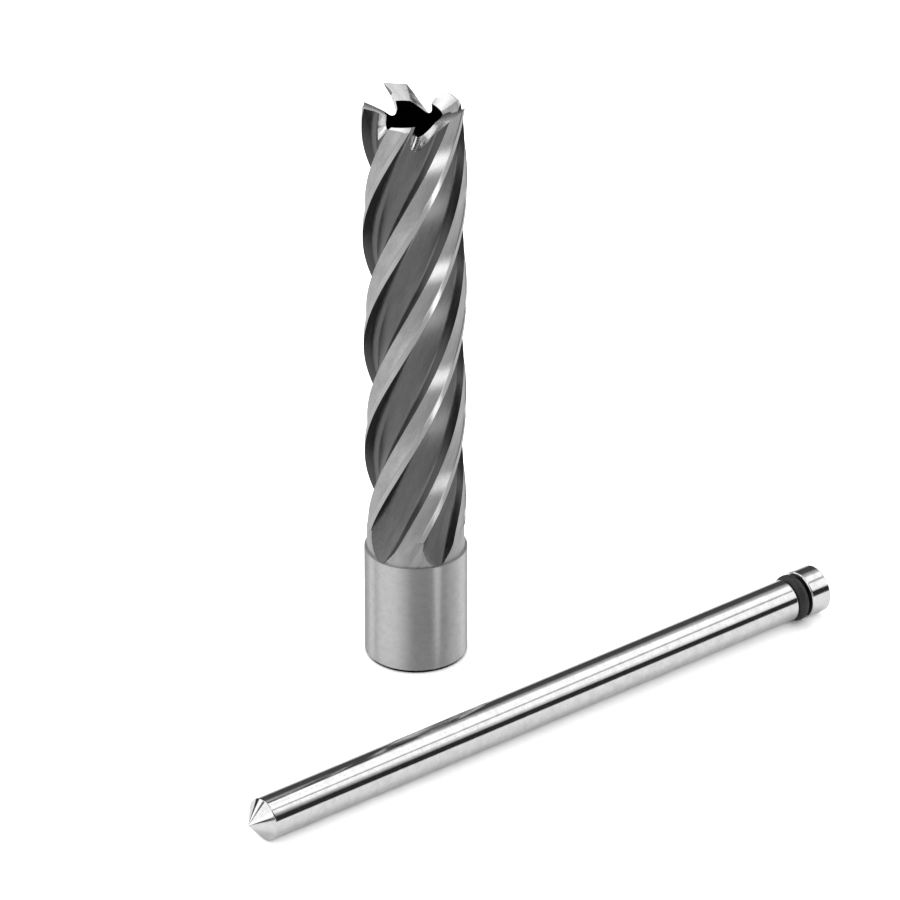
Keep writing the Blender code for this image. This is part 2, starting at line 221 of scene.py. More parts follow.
CORNER_RADIUS = floor_radius(CORNER_ANGLE)
FLOOR_END = CORNER_ANGLE - HEEL_CORNER / CORNER_RADIUS
WALL_FOOT = fillet_points()[0][1]
WALL_SHARE = HEEL_CORNER / (LAND_RADIUS - CORNER_RADIUS)
HEEL_FOOT = CORNER_ANGLE + (HEEL_ANGLE - CORNER_ANGLE) * WALL_SHARE


def land_radius(angle):
    """Radius of the land, which is ground straight across from the heel to the margin."""
    near, far = LAND_RADIUS - LAND_TILT, LAND_RADIUS + LAND_TILT
    chord = near * far * math.sin(MARGIN_BACK - HEEL_ANGLE)
    return chord / (near * math.sin(angle - HEEL_ANGLE) + far * math.sin(MARGIN_BACK - angle))


def section_radius(angle):
    """Radius of the outline at an angle ahead of the cutting edge, at the teeth."""
    if angle < FLOOR_END:
        fillet = fillet_points()
        for (first, near), (second, far) in zip(fillet, fillet[1:]):
            if first <= angle <= second:
                return near + (far - near) * (angle - first) / (second - first)
        return floor_radius(angle)
    if HEEL_ANGLE <= angle <= MARGIN_BACK:
        return land_radius(angle)
    steps = [
        (FLOOR_END, floor_radius(FLOOR_END)), (HEEL_FOOT, CORNER_RADIUS + HEEL_CORNER),
        (HEEL_ANGLE, LAND_RADIUS - LAND_TILT), (MARGIN_BACK, LAND_RADIUS + LAND_TILT),
        (MARGIN_BACK + MARGIN_STEP / CUT_RADIUS, CUT_RADIUS), (PITCH + PAST_EDGE, CUT_RADIUS),
    ]
    for (first, near), (second, far) in zip(steps, steps[1:]):
        if first <= angle <= second:
            return near + (far - near) * (angle - first) / (second - first)


print("floor", round(2000 * FLOOR_DISTANCE, 2), "mm across, land", 1000 * LAND_WIDTH, "mm wide")

# %% [markdown]
# ## The teeth
# A tooth's top falls away behind its edge in two slopes, the reliefs, and a round
# gullet in front of the next tooth makes room for the chip. All tops fall in to the
# bore as well, so the outer corner of a tooth cuts first. The fall is given as
# pairs: how far ahead along the wall, and how deep. Two of the five teeth are low
# ones: their crests lie a little deeper and have a steep bevel on the outside.

# %% Fall of the toothed end
TOP_BEVEL = math.radians(25)
PRIMARY_RELIEF = math.radians(8.5)
PRIMARY_LENGTH = 3.0 * MM
SECONDARY_RELIEF = math.radians(34)
GULLET_RADIUS = 1.8 * MM
GULLET_LEAD = 0.85 * MM
GULLET_FALL = math.radians(58)
GULLET_REACH = 1.65 * MM
GULLET_PARTS = 10
CLIFF_WIDTH = 0.06 * MM
LOW_TOOTH_DROP = 0.63 * MM
LOW_CREST_RADIUS = CUT_RADIUS - 1.0 * MM
LOW_OUTER_BEVEL = math.radians(47)
WALL_MIDDLE = (CUT_RADIUS + BORE_RADIUS) / 2
PRIMARY_FALL = (PRIMARY_LENGTH + GULLET_LEAD) * math.tan(PRIMARY_RELIEF)
PRIMARY_START = PITCH * WALL_MIDDLE - PRIMARY_LENGTH - GULLET_LEAD
WALL_TOP = LENGTH + GULLET_LEAD * WALL_MIDDLE / CUT_RADIUS * math.tan(PRIMARY_RELIEF)


def fall_corners():
    """The corners of the fall, each an angle ahead of an edge and a depth."""
    round_end = GULLET_RADIUS * (1 + math.sin(SECONDARY_RELIEF))
    round_fall = PRIMARY_FALL + math.tan(SECONDARY_RELIEF) * (PRIMARY_START - round_end)
    wall_end = round_fall - GULLET_RADIUS * math.cos(SECONDARY_RELIEF)
    corners = [(0.0, 0.0)]
    for part in range(GULLET_PARTS + 1):
        angle = math.pi - part * (math.pi / 2 + SECONDARY_RELIEF) / GULLET_PARTS
        across = GULLET_RADIUS * (1 + math.cos(angle)) + CLIFF_WIDTH * (1 - part / GULLET_PARTS)
        corners.append((across, wall_end + GULLET_RADIUS * math.sin(angle)))
    corners += [(PRIMARY_START, PRIMARY_FALL), (PITCH * WALL_MIDDLE, 0.0)]
    return [(across / WALL_MIDDLE, fall) for across, fall in corners]


FALLS = fall_corners()
DEEPEST = max(fall for angle, fall in FALLS)


def fall_at(angle):
    """Depth of the fall at an angle ahead of an edge."""
    angle %= PITCH
    for (first, near), (second, far) in zip(FALLS, FALLS[1:]):
        if angle <= second:
            return near + (far - near) * (angle - first) / (second - first)
    return 0.0


def relief_share(radius, angle):
    """The fall there, and how far it has gone over from relief to gullet."""
    fall = fall_at(angle - GULLET_LEAD / radius)
    return fall, max(fall - PRIMARY_FALL, 0.0) / (DEEPEST - PRIMARY_FALL)


def low_tooth_drop(radius, angle):
    """How much lower a low tooth is there than the others."""
    past_crest = max(radius - LOW_CREST_RADIUS, 0.0)
    share = relief_share(radius, angle)[1]
    return (1 - share) * (LOW_TOOTH_DROP + past_crest * math.tan(LOW_OUTER_BEVEL))


def crown_height(radius, angle):
    """Height of the toothed end at a radius, at an angle ahead of a cutting edge."""
    fall, share = relief_share(radius, angle)
    bevel = (CUT_RADIUS - radius) * math.tan(TOP_BEVEL)
    gullet = (CUT_RADIUS - BORE_RADIUS) * math.tan(TOP_BEVEL)
    gullet += min(radius - BORE_RADIUS, GULLET_REACH) * math.tan(GULLET_FALL)
    return WALL_TOP - fall - (1 - share) * bevel - share * gullet


crest = crown_height(CUT_RADIUS, 0)
print("gullets", round(1000 * DEEPEST, 2), "mm deep, crest at", round(1000 * crest, 2), "mm")

# %% [markdown]
# ## Where the flutes end
# The grinding wheel climbs out of each flute near the shank along its own round, so
# the flutes end in long slanting tips. The blank under them is a plain turned bar.

# %% Run-out and blank
WHEEL_RADIUS = 25.0 * MM
WHEEL_INSET = 0.55 * MM
WHEEL_EDGE = HEEL_ANGLE - WHEEL_INSET / CUT_RADIUS
RUNOUT_SLANT = 1.1


def body_radius(height):
    """Radius of the fluted tube, which narrows towards the shank."""
    share = max((height - NECK_TOP) / (LENGTH - NECK_TOP), 0.0)
    return BASE_RADIUS + (CUT_RADIUS - BASE_RADIUS) * share


def blank_radius(height):
    """Radius of the turned blank, with its shoulder down to the neck."""
    shoulder = (height - NECK_TOP) / NECK_SHOULDER
    if shoulder < 0:
        return BASE_RADIUS + (BASE_RADIUS - NECK_RADIUS) * max(shoulder, -1.0)
    return body_radius(height)


def wheel_lift(angle, height):
    """How far the wheel has climbed out of the flute there."""
    climb = math.sqrt(2 * WHEEL_RADIUS * (NECK_RADIUS - floor_radius(WHEEL_EDGE)))
    start = SHANK_LENGTH + climb + RUNOUT_SLANT * NECK_RADIUS * (WHEEL_EDGE - angle)
    return max(start - height, 0.0) ** 2 / (2 * WHEEL_RADIUS)


print("blank radius at the neck", 1000 * NECK_RADIUS, "mm, at the teeth", 1000 * CUT_RADIUS, "mm")

# %% [markdown]
# ## A flat plan of one fifth of the cutter
# Every fifth of the cutter is cut alike, so only one is drawn, and drawn flat: each
# point's X is its distance from the axis, its Y is its angle, and its Z its height.
# Columns run up the outside, over the teeth and down the bore. Each point also keeps
# how much lower it lies on a low tooth. A node tree then bends, twists and repeats
# the plan. That is much easier than twisted coordinates.

# %% Columns and rows of the plan
COLUMN_STEP = 0.028
SAME_ANGLE = 1e-6
SETTLING_ROUNDS = 40
OUTER_CREST_PARTS = 3
CREST_PARTS = 4
INNER_CREST_PARTS = 6


def steps_between(start, end, parts):
    """Evenly spaced numbers from start to end, with both ends."""
    return [start + (end - start) * i / parts for i in range(parts + 1)]


CREST_RADII = steps_between(CUT_RADIUS, LOW_CREST_RADIUS, OUTER_CREST_PARTS)[:-1]
CREST_RADII += steps_between(LOW_CREST_RADIUS, WALL_FOOT, CREST_PARTS)
CREST_RADII += steps_between(WALL_FOOT, BORE_RADIUS, INNER_CREST_PARTS)[1:]


def skin_angle(fall_angle):
    """Angle on the outside whose distance behind the gullet's wall is the given one."""
    angle = fall_angle
    for _ in range(SETTLING_ROUNDS):
        angle = fall_angle + GULLET_LEAD / section_radius(min(angle, PITCH))
    return angle


def plan_columns():
    """(angle, radius at the teeth, share of the taper) for each column."""
    marks = {angle for angle, radius in fillet_points()}
    marks |= {FLOOR_END, HEEL_FOOT, HEEL_ANGLE, MARGIN_BACK, MARGIN_BACK + MARGIN_STEP / CUT_RADIUS, PITCH}
    marks |= {skin_angle(angle) for angle, fall in FALLS[:-1]}
    marks = sorted(mark for mark in marks if 0 <= mark <= PITCH)
    angles = [marks[0]]
    for mark in marks[1:]:
        first = angles[-1]
        parts = max(math.ceil((mark - first) / COLUMN_STEP), 1)
        if mark - first > SAME_ANGLE:
            angles += steps_between(first, mark, parts)[1:]
    columns = [(0.0, radius, (radius - WALL_FOOT) / (CUT_RADIUS - WALL_FOOT))
               for radius in CREST_RADII if radius > WALL_FOOT]
    for angle in angles:
        on_land = min(max((angle - HEEL_FOOT) / (HEEL_ANGLE - HEEL_FOOT), 0.0), 1.0)
        columns.append((angle, section_radius(angle), on_land))
    return columns


COLUMNS = plan_columns()
CLIFF = skin_angle(0.0)
BREAK = skin_angle(PRIMARY_START / WALL_MIDDLE)
print(len(COLUMNS), "columns in each fifth")

# %% Points of the plan
FINISHES = ("shank", "flute", "wall", "land", "margin", "relief", "bore", "edge")
FINE_TOP = 46.0 * MM
CROWN_FOOT = 98.0 * MM
FLAT_EDGE = 0.004 * MM
ANGLE_SLACK = 4e-6
CHAMFER_ROW = 1
FLAT_ROWS = (4, 5)
SKIN_ROW = 8
NECK_ROWS = 14
LOWER_ROWS = 48
UPPER_ROWS = 44
CROWN_ROWS = 14
BORE_ROWS = 30
PILOT_ROWS = 4
INSIDE_POINTS = BORE_ROWS + PILOT_ROWS + 2


def crown_angle(angle, skin, radius):
    """Where a column lies further in: near the gullet it keeps beside the gullet's wall."""
    if angle < CLIFF:
        follow = angle / CLIFF
    else:
        follow = min((PITCH - angle) / (PITCH - BREAK), 1.0)
    return angle + follow * GULLET_LEAD * (1 / radius - 1 / skin)


def plan_column(angle, top_radius, share):
    """All the points of one column, from the pilot bore's mouth round to the bore.

    Each point has a fourth number: how much lower it is on a low tooth.
    """
    points = [(PILOT_RADIUS + PILOT_MOUTH, angle, 0.0), (SHANK_RADIUS - SHANK_CHAMFER, angle, 0.0),
              (SHANK_RADIUS, angle, CHAMFER_RISE)]
    low_end = (SHANK_LENGTH - FLAT_LENGTH) / 2
    high_end = low_end + FLAT_LENGTH
    for height in (low_end - FLAT_EDGE, low_end, high_end, high_end + FLAT_EDGE, SHANK_LENGTH):
        points.append((SHANK_RADIUS, angle, height))

    def skin(height):
        tapered = top_radius + share * (body_radius(height) - CUT_RADIUS)
        return min(tapered + wheel_lift(angle, height), blank_radius(height))

    heights = steps_between(SHANK_LENGTH, NECK_TOP - NECK_SHOULDER, NECK_ROWS)
    heights += steps_between(NECK_TOP, FINE_TOP, LOWER_ROWS)[:-1]
    heights += steps_between(FINE_TOP, CROWN_FOOT, UPPER_ROWS)[:-1]
    heights += steps_between(CROWN_FOOT, crown_height(top_radius, angle), CROWN_ROWS)
    points += [(skin(height), angle, height) for height in heights]
    points = [(*point, 0.0) for point in points]
    for i in range(1, CROWN_ROWS + 1):
        row = i - CROWN_ROWS - 1
        points[row] = (*points[row][:3], low_tooth_drop(top_radius, angle) * i / CROWN_ROWS)
    for radius in CREST_RADII:
        radius = min(radius, top_radius)
        at = crown_angle(angle, top_radius, radius)
        points.append((radius, at, crown_height(radius, at), low_tooth_drop(radius, at)))
    inner_angle, inner_top, drop = points[-1][1:]
    shoulder = BORE_FLOOR + BORE_SHOULDER
    for i in range(1, BORE_ROWS + 1):
        height = inner_top + (shoulder - inner_top) * i / BORE_ROWS
        points.append((BORE_RADIUS, inner_angle, height, drop * (1 - i / BORE_ROWS)))
    for height in steps_between(BORE_FLOOR, SHANK_LENGTH, PILOT_ROWS):
        points.append((PILOT_RADIUS, angle, height, 0.0))
    points.append((PILOT_RADIUS, angle, PILOT_MOUTH, 0.0))
    return points


def face_finish(row, spans, angle, height, on_wall):
    """Which of the finishes a face has, from its row, its angle and its height."""
    skin_start, skin_end, crown_end = spans
    name = "relief" if row < crown_end else "bore"
    if row < skin_end:
        name = "wall" if on_wall else "flute"
        if angle > HEEL_ANGLE - ANGLE_SLACK:
            name = "land" if angle < MARGIN_BACK - ANGLE_SLACK or height < NECK_TOP else "margin"
    if row < skin_start:
        # The bottom face and the chamfer take the edge finish, the painted contact shadow.
        name = "shank" if row > CHAMFER_ROW else "edge"
    return FINISHES.index(name)


def make_plan():
    """The flat mesh of one fifth, with a finish on each face and marks on each point."""
    columns = [plan_column(*column) for column in COLUMNS]
    tall = len(columns[0])
    crown_end = tall - INSIDE_POINTS - 1
    spans = (SKIN_ROW, crown_end - len(CREST_RADII) + 1, crown_end)
    verts = [point[:3] for column in columns for point in column]
    drops = [point[3] for column in columns for point in column]
    wall_end = skin_angle(FALLS[1][0]) + SAME_ANGLE
    ahead = [float(COLUMNS[i // tall][0] <= wall_end) for i in range(len(verts))]
    faces, finishes = [], []
    for across in range(len(columns) - 1):
        angle = COLUMNS[across][0]
        on_wall = COLUMNS[across + 1][0] == 0 or HEEL_FOOT - ANGLE_SLACK < angle
        for row in range(tall):
            here = across * tall + row
            after = across * tall + (row + 1) % tall
            faces.append((here, here + tall, after + tall, after))
            finishes.append(face_finish(row, spans, angle, columns[across][row][2], on_wall))
    mesh = bpy.data.meshes.new("cutter_plan")
    mesh.from_pydata(verts, [], faces)
    mesh.attributes.new("finish", "INT", "FACE").data.foreach_set("value", finishes)
    flat_rows = [float(i % tall in FLAT_ROWS) for i in range(len(verts))]
    mesh.attributes.new("flat_row", "FLOAT", "POINT").data.foreach_set("value", flat_rows)
    mesh.attributes.new("low_drop", "FLOAT", "POINT").data.foreach_set("value", drops)
    mesh.attributes.new("ahead", "FLOAT", "POINT").data.foreach_set("value", ahead)
    print("plan:", len(verts), "points,", tall, "rows")
    return mesh


PLAN = make_plan()

# %% [markdown]
# ## Tool steel and its finishes
# The cutter is high-speed steel, hardened and then ground. Bare steel has no colour
# of its own, only a grey mirror broken up by the wheel's scratches, which lie along
# the flutes, round the shank and across the tooth tops. The scratches spread a
# highlight across themselves, so each finish has its own grain direction. The floors
# of the flutes are darker than the lands. The walls of the flutes and the bore are
# painted darker still, as painted shade, and the foot of the shank is painted near
# black as a painted contact shadow. Real scratches are a few hundredths of a
# millimetre apart. They are drawn about five times as coarse here, so that they show
# at this distance.

# %% Steel
BLOTCH_SIZE = 6
GRAIN_ROUGHNESS = 0.55
CUT_DEPTHS = (0.004 * MM, 0.009 * MM)


def centred_coordinates(tree):
    """Object coordinates, counted from the foot of the cutter's axis."""
    where = add(tree, "ShaderNodeTexCoord").outputs["Object"]
    shift = tuple(-v for v in AXIS_FOOT)
    return add(tree, "ShaderNodeMapping", {"Vector": where, "Location": shift}).outputs[0]


def untwisted(tree, place):
    """Coordinates that stay the same all along a flute."""
    height = add(tree, "ShaderNodeSeparateXYZ", {0: place}).outputs[2]
    turn = calc(tree, "MULTIPLY", height, -FULL_TURN / LEAD)
    turned = add(tree, "ShaderNodeVectorRotate", {"Vector": place, "Angle": turn}, rotation_type="Z_AXIS")
    return turned.outputs[0]


def streaks(tree, place, spacing, detail=2.0):
    """Grain with its own spacing in metres along X, Y and Z, from 0 to 1."""
    scale = tuple(1 / gap for gap in spacing)
    scaled = add(tree, "ShaderNodeMapping", {"Vector": place, "Scale": scale}).outputs[0]
    inputs = {"Vector": scaled, "Scale": 1.0, "Detail": detail, "Roughness": GRAIN_ROUGHNESS}
    return add(tree, "ShaderNodeTexNoise", inputs).outputs["Fac"]


def span(tree, value, low_out, high_out, low_in=0.3, high_in=0.7):
    """Map a value from one range to another and hold it at the ends.

    Where no range is given the value is noise, which keeps to the middle.
    """
    inputs = {0: value, 1: low_in, 2: high_in, 3: low_out, 4: high_out}
    return add(tree, "ShaderNodeMapRange", inputs).outputs[0]


def off_axis(tree, way):
    """Distance from the cutter's axis, from separated coordinates."""
    square = calc(tree, "ADD", calc(tree, "POWER", way[0], 2.0), calc(tree, "POWER", way[1], 2.0))
    return calc(tree, "SQRT", square)


def cut_share(tree, place):
    """1 where the wheel has cut, 0 where the blank's own turned surface is left."""
    way = add(tree, "ShaderNodeSeparateXYZ", {0: place}).outputs
    shoulder = span(tree, way[2], NECK_RADIUS, BASE_RADIUS, NECK_TOP - NECK_SHOULDER, NECK_TOP)
    taper = span(tree, way[2], 0.0, CUT_RADIUS - BASE_RADIUS, NECK_TOP, LENGTH)
    depth = calc(tree, "SUBTRACT", calc(tree, "ADD", shoulder, taper), off_axis(tree, way))
    return span(tree, depth, 0.0, 1.0, *CUT_DEPTHS)


def steel(name, code, roughness, spread, spacing, bump, along_flute=False, anisotropic=0.0,
          across=None, mottle=0.1, blank=None):
    """Ground steel: its grain varies the gloss and the height, and blotches vary the colour.

    The grain's spacing is given along X, Y and Z. Across says which way a highlight
    spreads, and blank is the colour where the wheel hasn't cut.
    """
    material = bpy.data.materials.new(name)
    material.use_nodes = True
    tree = material.node_tree
    shader = tree.nodes["Principled BSDF"]
    shader.inputs["Metallic"].default_value = 1.0
    shader.inputs["Anisotropic"].default_value = anisotropic
    place = centred_coordinates(tree)
    if along_flute:
        place = untwisted(tree, place)
    grain = streaks(tree, place, spacing)
    blotch = streaks(tree, place, [gap * BLOTCH_SIZE for gap in spacing], 1.0)
    gloss = span(tree, grain, roughness - spread, roughness + spread)
    gloss = calc(tree, "ADD", gloss, span(tree, blotch, -spread, spread))
    tree.links.new(gloss, shader.inputs["Roughness"])
    both = calc(tree, "ADD", calc(tree, "MULTIPLY", grain, 0.5), calc(tree, "MULTIPLY", blotch, 0.5))
    bright = span(tree, both, 1 - mottle, 1 + mottle)
    colour = linear(code)
    if blank:
        colours = {0: cut_share(tree, place), 6: linear(blank), 7: colour}
        colour = add(tree, "ShaderNodeMix", colours, data_type="RGBA").outputs[2]
    else:
        colour = colour[:3]
    scaled = add(tree, "ShaderNodeVectorMath", {0: colour, "Scale": bright}, operation="SCALE").outputs[0]
    tree.links.new(scaled, shader.inputs["Base Color"])
    relief = add(tree, "ShaderNodeBump", {"Height": grain, "Strength": 1.0, "Distance": bump})
    tree.links.new(relief.outputs[0], shader.inputs["Normal"])
    if across:
        tangent = add(tree, "ShaderNodeCombineXYZ", dict(enumerate(across)))
        tree.links.new(tangent.outputs[0], shader.inputs["Tangent"])
    return material


UPRIGHT = (0.0, 0.0, 1.0)
LAND_GREY = "B0B0B0"
SHANK_GRAIN = (0.24 * MM, 0.24 * MM, 0.2 * MM)
FLUTE_GRAIN = (0.2 * MM, 0.2 * MM, 1.2 * MM)
LAND_GRAIN = (0.2 * MM, 0.2 * MM, 0.6 * MM)
RELIEF_GRAIN = (0.25 * MM, 0.16 * MM, 2 * MM)
STEELS = {
    "shank": steel("shank_ground_steel", "D6D6D6", 0.5, 0.03, SHANK_GRAIN, 0.0004 * MM,
                   anisotropic=1.0, across=UPRIGHT, mottle=0.13),
    "flute": steel("flute_ground_steel", "6C6C6C", 0.36, 0.05, FLUTE_GRAIN, 0.002 * MM,
                   along_flute=True, mottle=0.2, blank=LAND_GREY),
    # The flute walls are painted darker than the floors, as painted shade.
    "wall": steel("wall_steel_painted_shade", "4E4E4E", 0.36, 0.05, FLUTE_GRAIN, 0.002 * MM,
                  along_flute=True, mottle=0.2, blank=LAND_GREY),
    "land": steel("land_ground_steel", LAND_GREY, 0.34, 0.03, LAND_GRAIN, 0.0006 * MM,
                  along_flute=True, anisotropic=0.9, across=UPRIGHT, mottle=0.2),
    "margin": steel("margin_ground_steel", "BCBCBC", 0.32, 0.03, FLUTE_GRAIN, 0.0006 * MM,
                    along_flute=True, anisotropic=0.9, across=UPRIGHT),
    "relief": steel("relief_ground_steel", "E0E0E0", 0.26, 0.04, RELIEF_GRAIN, 0.0006 * MM),
    # The bottom face and chamfer of the shank are painted near black, as a painted contact shadow.
    "edge": steel("foot_edge_painted_shadow_steel", "181818", 0.6, 0.05, (1 * MM, 1 * MM, 1 * MM), 0.002 * MM),
    # The bore is painted near black, as painted shade inside it.
    "bore": steel("bore_steel_painted_shade", "141414", 0.5, 0.05, (4 * MM, 4 * MM, 0.2 * MM), 0.003 * MM),
}
print("finishes:", list(STEELS))

# %% [markdown]
# ## Bend, twist and repeat
# The node tree sets five copies of the plan side by side, a fifth of a turn apart,
# and lowers the crests of the low teeth. It reads X, Y and Z as radius, angle and
# height, adds the helix to the angle and bends the row into a closed tube. Then it
# presses the two drive flats into the shank. Two such flats take the screws of a
# side-lock arbor. They are on the far side here.

# %% The cutter's node tree
SHARP_ANGLE = math.radians(15)
WELD = 0.0015 * MM
LOW_TOOTH_EVERY = 3.0
LOW_TOOTH_REST = 1.0
COUNT_SLACK = 0.001
REST_SLACK = 0.1
TREE_INPUTS = (
    ("Flutes", "Int"), ("Lead", "Float"), ("Length", "Float"), ("Shank", "Float"),
    ("First Tooth", "Float"), ("Flat Distance", "Float"), ("Axis Foot", "Vector"),
)


def cutter_tree():
    """The node tree that makes the whole cutter of its plan."""
    tree = bpy.data.node_groups.new("twist_and_repeat", "GeometryNodeTree")
    face = tree.interface
    face.new_socket("Geometry", in_out="OUTPUT", socket_type="NodeSocketGeometry")
    face.new_socket("Geometry", in_out="INPUT", socket_type="NodeSocketGeometry")
    for name, kind in TREE_INPUTS:
        face.new_socket(name, in_out="INPUT", socket_type="NodeSocket" + kind)
    given = add(tree, "NodeGroupInput").outputs

    def stored(name):
        """A number that is kept on each point."""
        return add(tree, "GeometryNodeInputNamedAttribute", {"Name": name}, data_type="FLOAT").outputs[0]

    pitch = calc(tree, "DIVIDE", FULL_TURN, given["Flutes"])
    step = add(tree, "ShaderNodeCombineXYZ", {1: pitch}).outputs[0]
    spots = add(tree, "GeometryNodeMeshLine", {"Count": given["Flutes"], "Offset": step}).outputs[0]
    copies = add(tree, "GeometryNodeInstanceOnPoints", {"Points": spots, "Instance": given["Geometry"]})
    number = add(tree, "GeometryNodeInputIndex").outputs[0]
    numbered = {"Geometry": copies.outputs[0], "Name": "fifth", "Value": number}
    copies = add(tree, "GeometryNodeStoreNamedAttribute", numbered, data_type="FLOAT", domain="INSTANCE")
    row = add(tree, "GeometryNodeRealizeInstances", {0: copies.outputs[0]}).outputs[0]
    tooth = calc(tree, "SUBTRACT", calc(tree, "ADD", stored("fifth"), 1.0), stored("ahead"))
    rest = calc(tree, "MODULO", calc(tree, "ADD", tooth, COUNT_SLACK), LOW_TOOTH_EVERY)
    low = add(tree, "ShaderNodeMath", {0: rest, 1: LOW_TOOTH_REST, 2: REST_SLACK}, operation="COMPARE")
    plan = add(tree, "ShaderNodeSeparateXYZ", {0: add(tree, "GeometryNodeInputPosition").outputs[0]}).outputs
    height = calc(tree, "SUBTRACT", plan[2], calc(tree, "MULTIPLY", stored("low_drop"), low.outputs[0]))
    twisted = calc(tree, "MAXIMUM", height, given["Shank"])
    rise = calc(tree, "SUBTRACT", twisted, given["Length"])
    turn = calc(tree, "MULTIPLY", calc(tree, "DIVIDE", rise, given["Lead"]), FULL_TURN)
    angle = calc(tree, "ADD", calc(tree, "ADD", plan[1], turn), given["First Tooth"])
    bent = add(tree, "ShaderNodeCombineXYZ", {
        0: calc(tree, "MULTIPLY", plan[0], calc(tree, "COSINE", angle)),
        1: calc(tree, "MULTIPLY", plan[0], calc(tree, "SINE", angle)),
        2: height,
    }).outputs[0]
    whole = add(tree, "GeometryNodeSetPosition", {"Geometry": row, "Position": bent}).outputs[0]
    whole = add(tree, "GeometryNodeMergeByDistance", {"Geometry": whole, "Distance": WELD}).outputs[0]
    for direction in FLAT_DIRECTIONS:
        outward = (math.cos(direction), math.sin(direction), 0.0)
        where = add(tree, "GeometryNodeInputPosition").outputs[0]
        reach = add(tree, "ShaderNodeVectorMath", {0: where, 1: outward}, operation="DOT_PRODUCT")
        over = calc(tree, "SUBTRACT", reach.outputs["Value"], given["Flat Distance"])
        over = calc(tree, "MAXIMUM", over, 0.0)
        back = calc(tree, "MULTIPLY", calc(tree, "MULTIPLY", over, stored("flat_row")), -1.0)
        press = add(tree, "ShaderNodeVectorMath", {0: outward, "Scale": back}, operation="SCALE").outputs[0]
        whole = add(tree, "GeometryNodeSetPosition", {"Geometry": whole, "Offset": press}).outputs[0]
    placed = {"Geometry": whole, "Translation": given["Axis Foot"]}
    whole = add(tree, "GeometryNodeTransform", placed).outputs[0]
    whole = add(tree, "GeometryNodeSetShadeSmooth", {"Geometry": whole, "Shade Smooth": True}).outputs[0]
    edge = add(tree, "GeometryNodeInputMeshEdgeAngle").outputs["Unsigned Angle"]
    soft = add(tree, "FunctionNodeCompare", {0: edge, 1: SHARP_ANGLE}, operation="LESS_THAN").outputs[0]
    creased = {"Geometry": whole, "Shade Smooth": soft}
    whole = add(tree, "GeometryNodeSetShadeSmooth", creased, domain="EDGE").outputs[0]
    for index, name in enumerate(FINISHES):
        finish = add(tree, "GeometryNodeInputNamedAttribute", {"Name": "finish"}, data_type="INT").outputs[0]
        chosen = add(tree, "FunctionNodeCompare", {2: finish, 3: index}, data_type="INT", operation="EQUAL")
        dressed = {"Geometry": whole, "Selection": chosen.outputs[0], "Material": STEELS[name]}
        whole = add(tree, "GeometryNodeSetMaterial", dressed).outputs[0]
    add(tree, "NodeGroupOutput", {0: whole})
    return tree


def set_inputs(modifier, values):
    """Set a node modifier's inputs by the sockets' identifiers."""
    for item in modifier.node_group.interface.items_tree:
        if item.in_out == "INPUT" and item.name in values:
            modifier[item.identifier] = values[item.name]


def grown(name, mesh, tree, values):
    """The plain mesh that a tree makes of a mesh, as a new object."""
    seed = bpy.data.objects.new(name + "_seed", mesh)
    bpy.context.scene.collection.objects.link(seed)
    modifier = seed.modifiers.new("grow", "NODES")
    modifier.node_group = tree
    set_inputs(modifier, values)
    shown = seed.evaluated_get(bpy.context.evaluated_depsgraph_get())
    made = bpy.data.objects.new(name, bpy.data.meshes.new_from_object(shown))
    bpy.context.scene.collection.objects.link(made)
    bpy.data.objects.remove(seed)
    print(name + ":", len(made.data.vertices), "points,", len(made.data.polygons), "faces")
    return made


cutter = grown("fluted_cutter", PLAN, cutter_tree(), {
    "Flutes": FLUTES, "Lead": LEAD, "Length": LENGTH, "Shank": SHANK_LENGTH, "First Tooth": FIRST_TOOTH,
    "Flat Distance": FLAT_DISTANCE, "Axis Foot": AXIS_FOOT})
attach(cutter, BODY)
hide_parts("cutter_body")

# %% [markdown]
# ## The pilot pin
# The pin is a hardened rod, ground and polished in a lathe. Its point finds the
# centre mark, and its head keeps it in the arbor, with a rubber ring in a groove
# under the head. It is a turned part, so its outline goes once round its axis.

# %% Sizes of the pin
PIN_RADIUS = 3.99 * MM
PIN_LENGTH = 134.0 * MM
POINT_LENGTH = 3.3 * MM
POINT_FLAT = 0.12 * MM
EDGE = 0.15 * MM
HEAD_RADIUS = PIN_RADIUS + 0.56 * MM
HEAD_START = PIN_LENGTH - 4.6 * MM
HEAD_CHAMFER = 0.35 * MM
CORD = 2.4 * MM
RING_RADIUS = HEAD_RADIUS - 0.06 * MM - CORD / 2
CLEARANCE = 0.3 * MM
GROOVE_RADIUS = RING_RADIUS - CORD / 2 - CLEARANCE
GROOVE_START = HEAD_START - CORD - 2 * CLEARANCE
POINT_PLACE = Vector((-29.8 * MM, -69.5 * MM, 0.0))
HEADING = math.radians(38.6)
PIN_STEPS = 96
STRAIGHT = 0.3 * MM
PIN_ROUND = 0.08 * MM


def pin_rest():
    """The pin's place: it lies on its head's edge and on the front end of its shaft."""
    tilt = math.atan2(HEAD_RADIUS - PIN_RADIUS, HEAD_START + EDGE - POINT_LENGTH)
    height = PIN_RADIUS * math.cos(tilt) - POINT_LENGTH * math.sin(tilt)
    turn = Matrix.Rotation(HEADING, 4, "Z") @ Matrix.Rotation(math.pi / 2 - tilt, 4, "Y")
    return Matrix.Translation(AXIS_FOOT + POINT_PLACE + Vector((0.0, 0.0, height))) @ turn


PIN_REST = pin_rest()
print("pin's point at", [round(1000 * v, 2) for v in PIN_REST.translation], "mm")

# %% Turning a profile
SIDE_SHARE = 2.2


